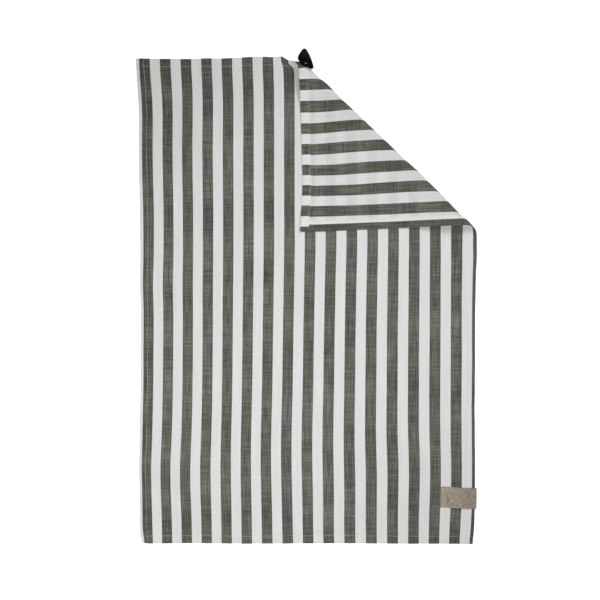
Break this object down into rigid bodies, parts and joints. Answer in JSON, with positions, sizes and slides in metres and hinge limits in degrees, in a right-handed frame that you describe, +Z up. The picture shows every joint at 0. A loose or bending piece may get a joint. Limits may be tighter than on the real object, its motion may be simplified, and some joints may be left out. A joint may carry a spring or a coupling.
{
  "type": "tea towel",
  "caption": "Striped cotton tea towel lying flat, its top corner turned over the front, with a hanging loop and a bare side label.",
  "frame": {"origin": "on the surface that the towel lies on, under the middle of the cloth as it is before the corner is turned over", "axes": "+X to the towel's right side, where the label is; +Y along the towel to the end with the hanging loop; +Z up from the surface"},
  "size_m": [0.4907, 0.7103, 0.0187],
  "materials": {
    "striped_cotton": "plain-woven yarn-dyed cotton, charcoal and white stripes, matt",
    "black_tape": "black woven cotton tape, matt",
    "label_tape": "linen-coloured woven label tape, bare, matt"
  },
  "bodies": {
    "root": {"towel_cloth": "striped_cotton", "hanging_loop": "black_tape", "side_label": "label_tape"}
  },
  "joints": []
}
